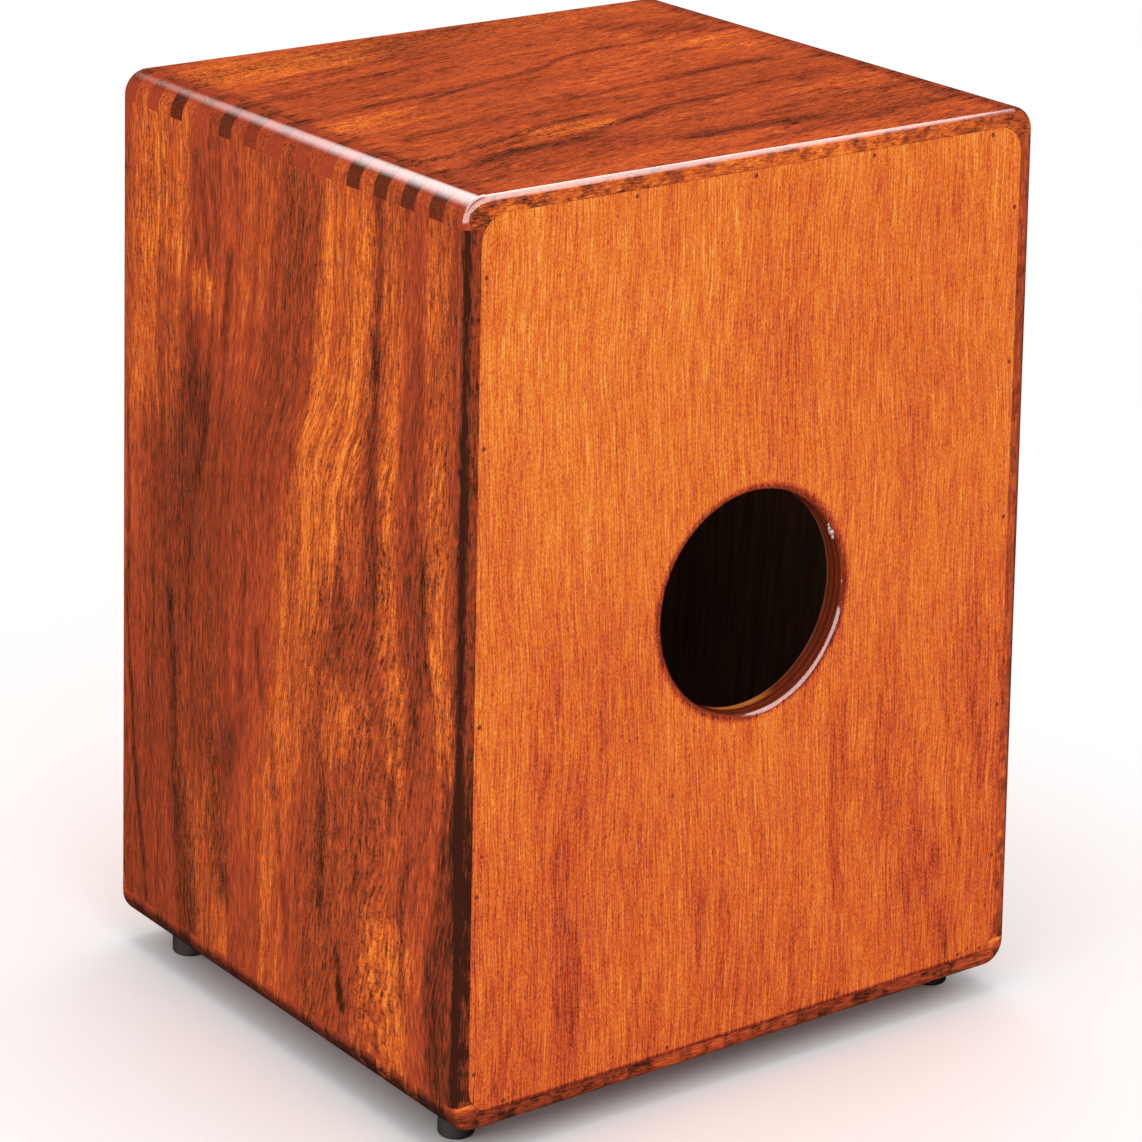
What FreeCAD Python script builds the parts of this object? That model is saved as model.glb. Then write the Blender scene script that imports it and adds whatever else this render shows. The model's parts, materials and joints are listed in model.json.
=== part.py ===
"""Cajon: a box drum with a round sound hole in its back and snare wires inside.

Frame: millimetres, +Z up, origin on the floor under the middle of the box.
The front plate that is struck faces -Y, the sound hole faces +Y, and +X is the player's left.
"""
import FreeCAD
import Part
import math
import os

V = FreeCAD.Vector

# ---- driving dimensions -------------------------------------------------------------------
WIDTH = 355.0                   # across X, over both side boards
DEPTH = 314.0                   # along Y, from the front plate's face to the back face
BODY_HEIGHT = 464.0             # the box, without its feet
FOOT_HEIGHT = 16.0
BOARD = 15.0                    # thickness of the solid boards
FRONT_PLATE = 3.0               # thickness of the struck plywood plate
BACK_PANEL = 12.0               # thickness of the back panel, five plies
CORNER_RADIUS = 13.0            # the four long edges that run front to back
RIM_RADIUS = 4.5                # the edges round the front and back faces
JOINT_GAP = 0.1                 # glue line between neighbouring boards

FINGER = 11.7                   # width of one finger of the corner joints
FIRST_FINGER = 7.45             # the cut-down finger at the back corner

BACK_INSET = 9.0                # from the outside of the box to the back panel
BACK_CORNER_RADIUS = 14.0
BACK_GAP = 0.2                  # slit between the back panel and its rabbet
HOLE_RADIUS = 57.2
HOLE_RIM_RADIUS = 2.0           # rounding of the sound hole's outer edge
HOLE_ABOVE_BODY = 0.504 * BODY_HEIGHT

FOOT_RADIUS = 9.2
FOOT_SIDE_INSET = 24.5          # foot's centre from the side of the box
FOOT_END_INSET = 32.0           # foot's centre from the front and back of the box
FOOT_EDGE_RADIUS = 1.5
FOOT_WEB = 6.0                  # rubber left between the foot's screw head and the box
FOOT_POCKET_RADIUS = 5.2
FOOT_SCREW_RADIUS = 2.0
FOOT_SCREW_HEAD = 4.2
FOOT_SCREW_IN_BOARD = 12.0
WASHER = 1.0
WASHER_PLAY = 0.2               # radial, round the foot's washer and inside it

SCREW_RADIUS = 1.75             # wood screws of the front plate and snare parts
SCREW_CLEARANCE = 0.03          # between a screw or nail and its hole
SCREW_TIP = 0.3                 # radius of the blunt tip, as a share of the screw's
PAN_HEAD_RADIUS = 3.0
PAN_HEAD = 1.6                  # height of a pan head
CROSS_ARM = 0.55                # half length of the cross recess, as a share of the head's radius
CROSS_WIDTH = 1.0
CROSS_DEPTH = 1.0
FRONT_SCREW_LENGTH = 25.0
FRONT_SCREW_HEAD = 3.75
FRONT_SCREW_INSET = 9.0         # from the outside of the box
FRONT_SCREW_FROM_CORNER = 18.0  # height of the lowest row over the bottom of the box
FRONT_SCREW_ROWS = 6            # along each side
FRONT_SCREW_COLUMNS = 5         # along the top and bottom, corners included

BRAD_RADIUS = 0.7
BRAD_HEAD_RADIUS = 1.15
BRAD_HEAD = 0.8
BRAD_LENGTH = 28.0
BRAD_INSET = 12.0               # the middle of the rabbet's shoulder
# Hand-set nails: heights above the box's bottom on the two sides, and X on the ends.
BRADS_LEFT_SIDE = (30.0, 120.0, 205.0, 342.0, 425.0)
BRADS_RIGHT_SIDE = (62.0, 145.0, 247.0, 330.0, 412.0)
BRADS_TOP = (-149.0, -70.0, 5.0, 78.0)
BRADS_BOTTOM = (-159.0, -144.0, -62.0, 48.0, 148.0)

RAIL_RADIUS = 11.0              # round wooden rail that carries the snare wires
RAIL_FLAT = 8.0                 # from the rail's axis to the flat that the plates sit on
RAIL_TO_PLATE = 12.2            # from the rail's axis to the back of the front plate
RAIL_BELOW_TOP = 150.0          # from the seat to the rail's axis
RAIL_END_GAP = 1.0
PIN_RADIUS = 3.0
PIN_IN_RAIL = 18.0
PIN_IN_BLOCK = 15.0
RUNNING_CLEARANCE = 0.05        # radial, pin in block and clamp screw in block
BLOCK_SIZE = (20.0, 40.0, 44.0)
BLOCK_GAP = 2.0                 # from the block to the front plate
BLOCK_EDGE_RADIUS = 2.0
BLOCK_SCREW_OFFSET = (14.0, 14.0)   # behind the rail's axis, and above and below it
BLOCK_SCREW_LENGTH = 30.0

SNARE_PLATE = (62.0, 1.0, 14.0)
SNARE_PLATE_CORNER = 3.0
SNARE_CENTRE = 80.0             # X of each plate's middle
WIRE_RADIUS = 0.8
WIRE_COUNT = 10
WIRE_SPACING = 4.4
WIRE_BELOW_AXIS = 5.0
WIRE_ABOVE_AXIS = 115.0
WIRE_TIP_GAP = 0.4              # between the wire's tip and the front plate
SOLDER_GAP = 0.02
PLATE_SCREW_OFFSET = 26.0
PLATE_SCREW_LENGTH = 12.0

CLAMP_FROM_BLOCK_FACE = 7.0     # clamp screw's axis from the block's inner face
CLAMP_TIP_GAP = 0.1             # between the clamp screw and the pin
CLAMP_STANDOFF = 8.0            # bare screw between the block and the knob
KNOB_RADIUS = 11.5
KNOB_THICKNESS = 14.0
KNOB_BORE = 8.0                 # depth of the clamp screw in the knob
KNOB_EDGE_RADIUS = 1.5
KNOB_GROOVES = 8
KNOB_GROOVE_RADIUS = 2.6
KNOB_GROOVE_OFFSET = 1.0        # from the knob's surface out to the middle of each groove

# ---- places worked out from the dimensions --------------------------------------------------
SIDE = WIDTH / 2
FRONT = -DEPTH / 2
BACK = DEPTH / 2
BOX_FRONT = FRONT + FRONT_PLATE
BOTTOM = FOOT_HEIGHT
TOP = FOOT_HEIGHT + BODY_HEIGHT
HOLE_Z = BOTTOM + HOLE_ABOVE_BODY
RAIL_Y = BOX_FRONT + RAIL_TO_PLATE
RAIL_Z = TOP - RAIL_BELOW_TOP
BLOCK_FACE = SIDE - BOARD - BLOCK_SIZE[0]
BLOCK_BACK = BOX_FRONT + BLOCK_GAP + BLOCK_SIZE[1]
CLAMP_X = BLOCK_FACE + CLAMP_FROM_BLOCK_FACE


# ---- helpers ----------------------------------------------------------------------------------
def block(low, high):
    """A box from its lowest to its highest corner."""
    size = [high[i] - low[i] for i in range(3)]
    return Part.makeBox(size[0], size[1], size[2], V(*low))


def rod(radius, start, end):
    """A round bar between two points."""
    start = V(*start)
    along = V(*end) - start
    return Part.makeCylinder(radius, along.Length, start, along)


def rounded_rectangle_prism(half_width, low_z, high_z, radius, low_y, high_y):
    """A prism along Y whose outline is a rectangle with round corners."""
    prism = block((-half_width, low_y, low_z), (half_width, high_y, high_z))
    return prism.makeFillet(radius, [edge for edge in prism.Edges if runs_along_y(edge)])


def runs_along_y(edge):
    ends = [vertex.Point for vertex in edge.Vertexes]
    if len(ends) != 2:
        return False
    along = ends[1] - ends[0]
    return abs(along.y) > 1.0 and math.hypot(along.x, along.z) < 1e-6


def points_along_y(edge):
    """For a short straight edge, which runs_along_y would pass over."""
    box = edge.BoundBox
    return box.YLength > SNARE_PLATE[1] / 2 and box.XLength < 1e-6 and box.ZLength < 1e-6


def lies_at_y(edge, y):
    box = edge.BoundBox
    return abs(box.YMin - y) < 1e-6 and abs(box.YMax - y) < 1e-6


def cut_all(shape, tools):
    return shape.cut(Part.makeCompound(tools))


def cross_recess(head_end, axis, head_radius):
    """The screwdriver's cross in a head whose outside is at head_end."""
    arm = CROSS_ARM * head_radius
    half = CROSS_WIDTH / 2
    slots = block((-arm, -half, -CROSS_DEPTH), (arm, half, 1.0))
    slots = slots.fuse(block((-half, -arm, -CROSS_DEPTH), (half, arm, 1.0)))
    slots.Placement = FreeCAD.Placement(head_end, FreeCAD.Rotation(V(0, 0, 1), axis))
    return slots


def wood_screw(tip, head_end, radius, head_radius, countersunk=False):
    """A screw from its tip to the outside of its head, with a small point and a cross recess."""
    tip = V(*tip)
    head_end = V(*head_end)
    axis = head_end - tip
    length = axis.Length
    axis.normalize()
    point = 2 * radius
    head = head_radius - radius if countersunk else PAN_HEAD
    shank = Part.makeCylinder(radius, length - point - head, tip + axis * point, axis)
    cone = Part.makeCone(SCREW_TIP * radius, radius, point, tip, axis)
    if countersunk:
        cap = Part.makeCone(radius, head_radius, head, head_end - axis * head, axis)
    else:
        cap = Part.makeCylinder(head_radius, head, head_end - axis * head, axis)
    screw = cone.fuse([shank, cap]).removeSplitter()
    return screw.cut(cross_recess(head_end, axis, head_radius))


def screw_hole(tip, head_end, radius, head_radius=0.0, countersunk=False):
    """The hole that holds a screw: its shank, and its countersink where it has one."""
    tip = V(*tip)
    head_end = V(*head_end)
    axis = head_end - tip
    length = axis.Length
    axis.normalize()
    hole_radius = radius + SCREW_CLEARANCE
    hole = Part.makeCylinder(hole_radius, length + 1.0, tip, axis)
    if countersunk:
        rim = head_radius + SCREW_CLEARANCE
        depth = rim - hole_radius
        hole = hole.fuse(Part.makeCone(hole_radius, rim, depth, head_end - axis * depth, axis))
    return hole


# ---- the box ----------------------------------------------------------------------------------
def outer_form():
    """The whole box as one rounded form, which every board and plate is cut to."""
    form = rounded_rectangle_prism(SIDE, BOTTOM, TOP, CORNER_RADIUS, FRONT, BACK)
    rims = [edge for edge in form.Edges if lies_at_y(edge, FRONT) or lies_at_y(edge, BACK)]
    return form.makeFillet(RIM_RADIUS, rims)


def finger_edges():
    """Where one finger ends and the next starts, as Y from the back corner to the front."""
    edges = [BACK]
    y = BACK - FIRST_FINGER
    while y > BOX_FRONT:
        edges.append(y)
        y -= FINGER
    edges.append(BOX_FRONT)
    return edges


def fingers(first):
    """Y ranges of every second finger: 0 for the top and bottom boards, 1 for the sides."""
    edges = finger_edges()
    ranges = []
    for index in range(first, len(edges) - 1, 2):
        high = edges[index]
        low = edges[index + 1]
        low_gap = JOINT_GAP / 2 if low > BOX_FRONT else 0.0
        high_gap = JOINT_GAP / 2 if high < BACK else 0.0
        ranges.append((low + low_gap, high - high_gap))
    return ranges


def back_pocket():
    """The rabbet that the back panel drops into."""
    inset = BACK_INSET - BACK_GAP
    corner = BACK_CORNER_RADIUS + BACK_GAP
    shoulder = BACK - BACK_PANEL - JOINT_GAP
    return rounded_rectangle_prism(SIDE - inset, BOTTOM + inset, TOP - inset, corner, shoulder, BACK + 1.0)


def horizontal_board(form, low_z, high_z):
    """The top or bottom board: full depth between the sides, with fingers through them."""
    pieces = [block((-SIDE + BOARD, BOX_FRONT, low_z), (SIDE - BOARD, BACK, high_z))]
    for low_y, high_y in fingers(0):
        pieces.append(block((-SIDE, low_y, low_z), (SIDE, high_y, high_z)))
    board = pieces[0].fuse(pieces[1:]).removeSplitter()
    return board.common(form).cut(back_pocket())


def side_board(form, low_x, high_x):
    """A side board: between the top and bottom boards, with fingers through them."""
    gap = JOINT_GAP
    pieces = [block((low_x, BOX_FRONT, BOTTOM + BOARD + gap), (high_x, BACK, TOP - BOARD - gap))]
    for low_y, high_y in fingers(1):
        pieces.append(block((low_x, low_y, BOTTOM), (high_x, high_y, TOP)))
    board = pieces[0].fuse(pieces[1:]).removeSplitter()
    return board.common(form).cut(back_pocket())


def back_panel():
    """The flush back panel with its round sound hole."""
    panel = rounded_rectangle_prism(SIDE - BACK_INSET, BOTTOM + BACK_INSET, TOP - BACK_INSET,
                                    BACK_CORNER_RADIUS, BACK - BACK_PANEL, BACK)
    panel = panel.cut(rod(HOLE_RADIUS, (0, BACK - BACK_PANEL - 1, HOLE_Z), (0, BACK + 1, HOLE_Z)))
    rim = [edge for edge in panel.Edges if lies_at_y(edge, BACK) and is_hole_rim(edge)]
    panel = panel.makeFillet(HOLE_RIM_RADIUS, rim)
    tools = []
    for tip, head in brad_places():
        tools += [screw_hole(tip, head, BRAD_RADIUS), brad_head_hole(head)]
    return cut_all(panel, tools)


def is_hole_rim(edge):
    return isinstance(edge.Curve, Part.Circle) and abs(edge.Curve.Radius - HOLE_RADIUS) < 1e-3


def front_plate(form):
    """The struck plate: covers the whole front and is rounded with the box."""
    plate = form.common(block((-SIDE, FRONT, BOTTOM), (SIDE, BOX_FRONT, TOP)))
    return cut_all(plate, [screw_hole(tip, head, SCREW_RADIUS, FRONT_SCREW_HEAD, True)
                           for tip, head in front_screw_places()])


# ---- fasteners of the box -----------------------------------------------------------------------
def front_screw_places():
    """Tip and head of every front plate screw."""
    x_edge = SIDE - FRONT_SCREW_INSET
    low_z = BOTTOM + FRONT_SCREW_INSET
    high_z = TOP - FRONT_SCREW_INSET
    lowest_row = BOTTOM + FRONT_SCREW_FROM_CORNER
    row_spacing = (BODY_HEIGHT - 2 * FRONT_SCREW_FROM_CORNER) / (FRONT_SCREW_ROWS - 1)
    spots = []
    for row in range(FRONT_SCREW_ROWS):
        z = lowest_row + row * row_spacing
        spots += [(-x_edge, z), (x_edge, z)]
    for column in range(1, FRONT_SCREW_COLUMNS - 1):
        x = -x_edge + 2 * x_edge * column / (FRONT_SCREW_COLUMNS - 1)
        spots += [(x, low_z), (x, high_z)]
    return [((x, FRONT + FRONT_SCREW_LENGTH, z), (x, FRONT, z)) for x, z in spots]


def brad_places():
    """Tip and head of every nail of the back panel."""
    spots = [(SIDE - BRAD_INSET, BOTTOM + z) for z in BRADS_LEFT_SIDE]
    spots += [(-SIDE + BRAD_INSET, BOTTOM + z) for z in BRADS_RIGHT_SIDE]
    spots += [(x, TOP - BRAD_INSET) for x in BRADS_TOP]
    spots += [(x, BOTTOM + BRAD_INSET) for x in BRADS_BOTTOM]
    return [((x, BACK - BRAD_LENGTH, z), (x, BACK, z)) for x, z in spots]


def brad_head_hole(head):
    x, y, z = head
    return rod(BRAD_HEAD_RADIUS + SCREW_CLEARANCE, (x, y - BRAD_HEAD - SCREW_CLEARANCE, z), (x, y + 1, z))


def brads():
    nails = []
    for tip, head in brad_places():
        neck = (head[0], head[1] - BRAD_HEAD, head[2])
        shank = rod(BRAD_RADIUS, tip, neck)
        nails.append(shank.fuse(rod(BRAD_HEAD_RADIUS, neck, head)).removeSplitter())
    return Part.makeCompound(nails)


def front_screws():
    return Part.makeCompound([wood_screw(tip, head, SCREW_RADIUS, FRONT_SCREW_HEAD, True)
                              for tip, head in front_screw_places()])


# ---- feet -----------------------------------------------------------------------------------------
def foot_centre(side, end):
    return side * (SIDE - FOOT_SIDE_INSET), end * (DEPTH / 2 - FOOT_END_INSET)


def foot_centres():
    return [foot_centre(side, end) for side in (-1, 1) for end in (-1, 1)]


def foot(x, y):
    """A rubber foot with a pocket for its screw and washer."""
    body = rod(FOOT_RADIUS, (x, y, 0), (x, y, FOOT_HEIGHT))
    body = body.cut(rod(FOOT_POCKET_RADIUS, (x, y, -1), (x, y, FOOT_HEIGHT - FOOT_WEB)))
    body = body.cut(rod(FOOT_SCREW_RADIUS + SCREW_CLEARANCE, (x, y, 0), (x, y, FOOT_HEIGHT + 1)))
    outer_edge = [edge for edge in body.Edges
                  if isinstance(edge.Curve, Part.Circle)
                  and abs(edge.Curve.Radius - FOOT_RADIUS) < 1e-6 and edge.BoundBox.ZMax < 1e-3]
    return body.makeFillet(FOOT_EDGE_RADIUS, outer_edge)


def foot_screw_place(x, y):
    head_end = FOOT_HEIGHT - FOOT_WEB - WASHER - PAN_HEAD
    return (x, y, BOTTOM + FOOT_SCREW_IN_BOARD), (x, y, head_end)


def foot_screws():
    screws = []
    for x, y in foot_centres():
        tip, head = foot_screw_place(x, y)
        screws.append(wood_screw(tip, head, FOOT_SCREW_RADIUS, FOOT_SCREW_HEAD))
    return Part.makeCompound(screws)


def foot_washers():
    low = FOOT_HEIGHT - FOOT_WEB - WASHER
    rings = []
    for x, y in foot_centres():
        ring = rod(FOOT_POCKET_RADIUS - WASHER_PLAY, (x, y, low), (x, y, low + WASHER))
        bore = rod(FOOT_SCREW_RADIUS + WASHER_PLAY, (x, y, low - 1), (x, y, low + WASHER + 1))
        rings.append(ring.cut(bore))
    return Part.makeCompound(rings)


# ---- snare parts ------------------------------------------------------------------------------------
def block_screw_places(side):
    """Tip and head of the screws that hold one pivot block to its side board."""
    behind, above = BLOCK_SCREW_OFFSET
    head = BLOCK_FACE - PAN_HEAD
    tip = head + BLOCK_SCREW_LENGTH
    return [((side * tip, RAIL_Y + behind, RAIL_Z + z), (side * head, RAIL_Y + behind, RAIL_Z + z))
            for z in (-above, above)]


def pivot_block(side):
    """A hardwood block glued to a side board, with a bore for the rail's pin."""
    near = side * BLOCK_FACE
    far = side * (SIDE - BOARD)
    low = (min(near, far), BOX_FRONT + BLOCK_GAP, RAIL_Z - BLOCK_SIZE[2] / 2)
    high = (max(near, far), BLOCK_BACK, RAIL_Z + BLOCK_SIZE[2] / 2)
    shape = block(low, high)
    inner_edges = [edge for edge in shape.Edges
                   if abs(edge.BoundBox.Center.x - near) < 1e-6 and edge.BoundBox.XLength < 1e-6]
    shape = shape.makeFillet(BLOCK_EDGE_RADIUS, inner_edges)
    tools = [rod(PIN_RADIUS + RUNNING_CLEARANCE, (near - side, RAIL_Y, RAIL_Z),
                 (near + side * (PIN_IN_BLOCK + 1), RAIL_Y, RAIL_Z))]
    tools += [screw_hole(tip, head, SCREW_RADIUS) for tip, head in block_screw_places(side)]
    if side > 0:
        tools.append(rod(PIN_RADIUS + RUNNING_CLEARANCE, (CLAMP_X, RAIL_Y, RAIL_Z),
                         (CLAMP_X, BLOCK_BACK + 1, RAIL_Z)))
    return cut_all(shape, tools)


def block_screws():
    return Part.makeCompound([wood_screw(tip, head, SCREW_RADIUS, PAN_HEAD_RADIUS)
                              for side in (-1, 1) for tip, head in block_screw_places(side)])


def plate_screw_places():
    """Tip and head of the screws that hold the snare plates to the rail."""
    head_y = RAIL_Y - RAIL_FLAT - SNARE_PLATE[1] - PAN_HEAD
    tip_y = head_y + PLATE_SCREW_LENGTH
    return [((x, tip_y, RAIL_Z), (x, head_y, RAIL_Z))
            for centre in (-SNARE_CENTRE, SNARE_CENTRE)
            for x in (centre - PLATE_SCREW_OFFSET, centre + PLATE_SCREW_OFFSET)]


def plate_screws():
    return Part.makeCompound([wood_screw(tip, head, SCREW_RADIUS, PAN_HEAD_RADIUS)
                              for tip, head in plate_screw_places()])


def snare_rail():
    """The round rail with a flat for the snare plates and a bore in each end."""
    end = BLOCK_FACE - RAIL_END_GAP
    rail = rod(RAIL_RADIUS, (-end, RAIL_Y, RAIL_Z), (end, RAIL_Y, RAIL_Z))
    flat_y = RAIL_Y - RAIL_FLAT
    tools = [block((-end - 1, flat_y - RAIL_RADIUS, RAIL_Z - RAIL_RADIUS),
                   (end + 1, flat_y, RAIL_Z + RAIL_RADIUS))]
    for side in (-1, 1):
        tools.append(rod(PIN_RADIUS + SCREW_CLEARANCE, (side * (end - PIN_IN_RAIL), RAIL_Y, RAIL_Z),
                         (side * (end + 1), RAIL_Y, RAIL_Z)))
    tools += [screw_hole(tip, head, SCREW_RADIUS) for tip, head in plate_screw_places()]
    return cut_all(rail, tools)


def pivot_pins():
    """Two steel pins, fixed in the rail and turning in the blocks."""
    inner = BLOCK_FACE - RAIL_END_GAP - PIN_IN_RAIL
    outer = BLOCK_FACE + PIN_IN_BLOCK
    return Part.makeCompound([rod(PIN_RADIUS, (side * inner, RAIL_Y, RAIL_Z), (side * outer, RAIL_Y, RAIL_Z))
                              for side in (-1, 1)])


def snare_plate(side):
    """The steel strip that one fan of snare wires is soldered to."""
    centre = side * SNARE_CENTRE
    back = RAIL_Y - RAIL_FLAT
    low = (centre - SNARE_PLATE[0] / 2, back - SNARE_PLATE[1], RAIL_Z - SNARE_PLATE[2] / 2)
    high = (centre + SNARE_PLATE[0] / 2, back, RAIL_Z + SNARE_PLATE[2] / 2)
    plate = block(low, high)
    plate = plate.makeFillet(SNARE_PLATE_CORNER, [edge for edge in plate.Edges if points_along_y(edge)])
    return cut_all(plate, [screw_hole(tip, head, SCREW_RADIUS) for tip, head in plate_screw_places()])


def snare_wires(side):
    """One fan of free-ended wires that lean towards the front plate."""
    base_y = RAIL_Y - RAIL_FLAT - SNARE_PLATE[1] - WIRE_RADIUS - SOLDER_GAP
    tip_y = BOX_FRONT + WIRE_TIP_GAP + WIRE_RADIUS
    wires = []
    for index in range(WIRE_COUNT):
        x = side * SNARE_CENTRE + (index - (WIRE_COUNT - 1) / 2) * WIRE_SPACING
        base = (x, base_y, RAIL_Z - WIRE_BELOW_AXIS)
        tip = (x, tip_y, RAIL_Z + WIRE_ABOVE_AXIS)
        wires.append(rod(WIRE_RADIUS, base, tip))
    return Part.makeCompound(wires)


def clamp_screw():
    """The screw that presses on the left pin and holds the rail at its angle."""
    tip = RAIL_Y + PIN_RADIUS + CLAMP_TIP_GAP
    end = BLOCK_BACK + CLAMP_STANDOFF + KNOB_BORE
    return rod(PIN_RADIUS, (CLAMP_X, tip, RAIL_Z), (CLAMP_X, end, RAIL_Z))


def clamp_knob():
    """The hand knob on the clamp screw, with finger grooves round it."""
    low = BLOCK_BACK + CLAMP_STANDOFF
    high = low + KNOB_THICKNESS
    knob = rod(KNOB_RADIUS, (CLAMP_X, low, RAIL_Z), (CLAMP_X, high, RAIL_Z))
    rims = [edge for edge in knob.Edges if isinstance(edge.Curve, Part.Circle)]
    knob = knob.makeFillet(KNOB_EDGE_RADIUS, rims)
    tools = [rod(PIN_RADIUS + SCREW_CLEARANCE, (CLAMP_X, low - 1, RAIL_Z),
                 (CLAMP_X, low + KNOB_BORE + SCREW_CLEARANCE, RAIL_Z))]
    groove_circle = KNOB_RADIUS + KNOB_GROOVE_OFFSET
    for groove in range(KNOB_GROOVES):
        angle = 2 * math.pi * groove / KNOB_GROOVES
        x = CLAMP_X + groove_circle * math.cos(angle)
        z = RAIL_Z + groove_circle * math.sin(angle)
        tools.append(rod(KNOB_GROOVE_RADIUS, (x, low - 1, z), (x, high + 1, z)))
    return cut_all(knob, tools)


# ---- build every node and write it ------------------------------------------------------------------
def build():
    form = outer_form()
    front_holes = [screw_hole(tip, head, SCREW_RADIUS) for tip, head in front_screw_places()]
    nail_holes = [screw_hole(tip, head, BRAD_RADIUS) for tip, head in brad_places()]
    foot_holes = [screw_hole(*foot_screw_place(x, y), FOOT_SCREW_RADIUS) for x, y in foot_centres()]
    block_holes = [screw_hole(tip, head, SCREW_RADIUS)
                   for side in (-1, 1) for tip, head in block_screw_places(side)]
    holes = front_holes + nail_holes + foot_holes + block_holes
    nodes = {
        "top_panel": cut_all(horizontal_board(form, TOP - BOARD, TOP), holes),
        "bottom_panel": cut_all(horizontal_board(form, BOTTOM, BOTTOM + BOARD), holes),
        "left_side_panel": cut_all(side_board(form, SIDE - BOARD + JOINT_GAP, SIDE), holes),
        "right_side_panel": cut_all(side_board(form, -SIDE, -SIDE + BOARD - JOINT_GAP), holes),
        "back_panel": back_panel(),
        "front_plate": front_plate(form),
        "front_plate_screws": front_screws(),
        "back_panel_brads": brads(),
        "foot_screws": foot_screws(),
        "foot_washers": foot_washers(),
        "left_pivot_block": pivot_block(1),
        "right_pivot_block": pivot_block(-1),
        "pivot_block_screws": block_screws(),
        "snare_rail": snare_rail(),
        "rail_pivot_pins": pivot_pins(),
        "left_snare_plate": snare_plate(1),
        "right_snare_plate": snare_plate(-1),
        "left_snare_wires": snare_wires(1),
        "right_snare_wires": snare_wires(-1),
        "snare_plate_screws": plate_screws(),
        "clamp_screw": clamp_screw(),
        "clamp_knob": clamp_knob(),
    }
    for end_name, end in (("front", -1), ("back", 1)):
        for side_name, side in (("left", 1), ("right", -1)):
            nodes[f"foot_{end_name}_{side_name}"] = foot(*foot_centre(side, end))
    return nodes


os.makedirs("parts", exist_ok=True)
for name, shape in build().items():
    shape.exportStep(f"parts/{name}.step")
    print(name, len(shape.Solids), "solids, valid", shape.isValid())
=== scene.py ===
"""The looks of a cajon: lacquered figured hardwood, orange plywood, rubber feet and steel snares.

Metres, in the frame's own axes: +Z up, the sound hole faces +Y, +X is the seated player's left.
"""
import json
import math

import bmesh
import bpy
from mathutils import Matrix, Vector


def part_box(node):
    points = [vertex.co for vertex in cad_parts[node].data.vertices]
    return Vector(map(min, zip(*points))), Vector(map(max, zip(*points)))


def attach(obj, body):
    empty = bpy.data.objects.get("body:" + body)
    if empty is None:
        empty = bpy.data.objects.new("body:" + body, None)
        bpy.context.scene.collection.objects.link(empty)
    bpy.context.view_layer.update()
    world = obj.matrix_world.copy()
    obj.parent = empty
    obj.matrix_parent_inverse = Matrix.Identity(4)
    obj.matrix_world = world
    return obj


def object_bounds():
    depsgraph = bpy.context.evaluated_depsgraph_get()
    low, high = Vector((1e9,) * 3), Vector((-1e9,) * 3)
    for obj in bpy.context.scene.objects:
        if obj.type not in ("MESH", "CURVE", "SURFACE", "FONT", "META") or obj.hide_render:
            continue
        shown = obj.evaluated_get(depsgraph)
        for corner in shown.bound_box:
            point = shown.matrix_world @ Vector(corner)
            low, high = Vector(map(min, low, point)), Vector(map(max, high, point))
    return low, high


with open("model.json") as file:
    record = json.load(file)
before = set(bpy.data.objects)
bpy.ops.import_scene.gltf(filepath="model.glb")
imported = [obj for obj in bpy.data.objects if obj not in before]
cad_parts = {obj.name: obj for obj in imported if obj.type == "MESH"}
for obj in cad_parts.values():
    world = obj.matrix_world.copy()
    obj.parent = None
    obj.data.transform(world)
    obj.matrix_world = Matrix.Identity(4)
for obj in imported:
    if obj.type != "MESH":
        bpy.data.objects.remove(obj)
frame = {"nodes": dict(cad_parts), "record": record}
cad_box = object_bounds()

MM = 0.001
LOW, HIGH = cad_box
MIDDLE = (LOW + HIGH) / 2
SIDE = HIGH.x
FRONT = LOW.y
BACK = HIGH.y
TOP = HIGH.z
BODY_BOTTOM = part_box("bottom_panel")[0].z
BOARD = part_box("top_panel")[1].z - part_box("top_panel")[0].z
PANEL_LOW, PANEL_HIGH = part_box("back_panel")
FRONT_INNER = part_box("front_plate")[1].y    # the face of the front plate that looks into the box
FINGER = 11.7 * MM                          # width of a corner joint's finger
FIRST_FINGER = 7.45 * MM                    # the cut-down finger at the back corner
SOUND_HOLE = next(mount for mount in frame["record"]["mounts"] if mount["name"] == "sound_hole")
HOLE_RADIUS = SOUND_HOLE["dims"]["r_mm"] * MM
HOLE_Z = SOUND_HOLE["pos_m"][2]


def rgb(red, green, blue):
    """A screen colour, 0 to 255, as the linear colour that Blender's sockets hold."""
    def linear(value):
        share = value / 255
        return share / 12.92 if share <= 0.04045 else ((share + 0.055) / 1.055) ** 2.4
    return (linear(red), linear(green), linear(blue), 1.0)


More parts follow.
